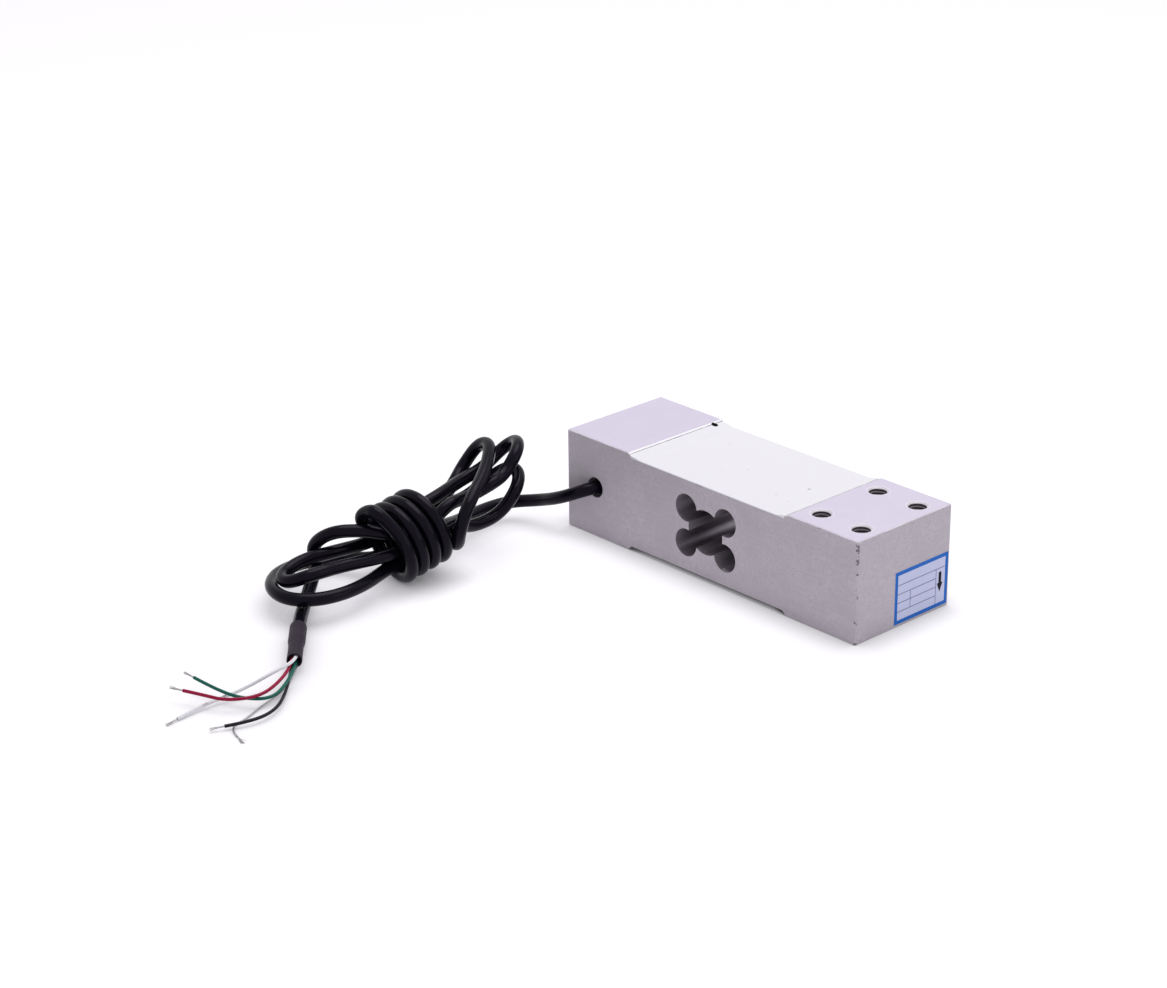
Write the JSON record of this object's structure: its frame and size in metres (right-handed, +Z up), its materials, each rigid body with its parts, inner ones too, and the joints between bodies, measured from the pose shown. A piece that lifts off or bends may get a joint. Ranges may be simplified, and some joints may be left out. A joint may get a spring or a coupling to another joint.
{
  "type": "single point load cell",
  "caption": "Single point load cell: aluminium beam with a clover cut-out, white-sealed strain gauges, tapped mounting holes at both ends and a black signal cable tied in a hank.",
  "frame": {"origin": "centre of the block's bottom face", "axes": "+X from the fixed end, where the cable leaves, to the loaded end; +Z up, out of the face that carries the platform; the cable leaves the -Y side"},
  "size_m": [0.1832, 0.262, 0.04],
  "materials": {
    "aluminium": "milled and blasted, satin",
    "silicone": "white potting silicone, slightly glossy",
    "carrier_film": "amber polyimide film",
    "gauge_foil": "etched constantan foil",
    "copper_wire": "enamelled copper",
    "circuit_board": "green solder mask",
    "resistor": "dark ceramic chip",
    "cable_core_jacket": "grey core wrap",
    "board_wire": "thin insulated wires",
    "grommet_rubber": "soft black rubber",
    "cable_jacket": "black PVC, satin",
    "heat_shrink": "black polyolefin, dull",
    "core_wrap": "foil and paper wrap",
    "wire_red": "red PVC",
    "wire_green": "green PVC",
    "wire_white": "white PVC",
    "wire_black": "black PVC",
    "tinned_copper": "tinned copper strands",
    "label": "printed silver film, left bare of words"
  },
  "bodies": {
    "root": {"load_cell_body": "aluminium", "top_sealant": "silicone", "bottom_sealant": "silicone", "bridge_board": "circuit_board", "terminal_board": "circuit_board", "balance_resistor": "resistor", "span_resistor": "resistor", "link_wires": "copper_wire", "cable_core": "cable_core_jacket", "board_wires": "board_wire", "cable_grommet": "grommet_rubber", "cable_lead": "cable_jacket", "cable_hank": "cable_jacket", "cable_tail": "cable_jacket", "heat_shrink_sleeve": "heat_shrink", "stripped_core": "core_wrap", "drain_wire": "tinned_copper", "rating_label": "label", "red_wire": "wire_red", "red_conductor": "tinned_copper", "green_wire": "wire_green", "green_conductor": "tinned_copper", "white_wire": "wire_white", "white_conductor": "tinned_copper", "black_wire": "wire_black", "black_conductor": "tinned_copper", "gauge_leads_top": "copper_wire", "gauge_carrier_top_fixed": "carrier_film", "gauge_foil_top_fixed": "gauge_foil", "gauge_carrier_top_live": "carrier_film", "gauge_foil_top_live": "gauge_foil", "gauge_leads_bottom": "copper_wire", "gauge_carrier_bottom_fixed": "carrier_film", "gauge_foil_bottom_fixed": "gauge_foil", "gauge_carrier_bottom_live": "carrier_film", "gauge_foil_bottom_live": "gauge_foil"}
  },
  "joints": []
}
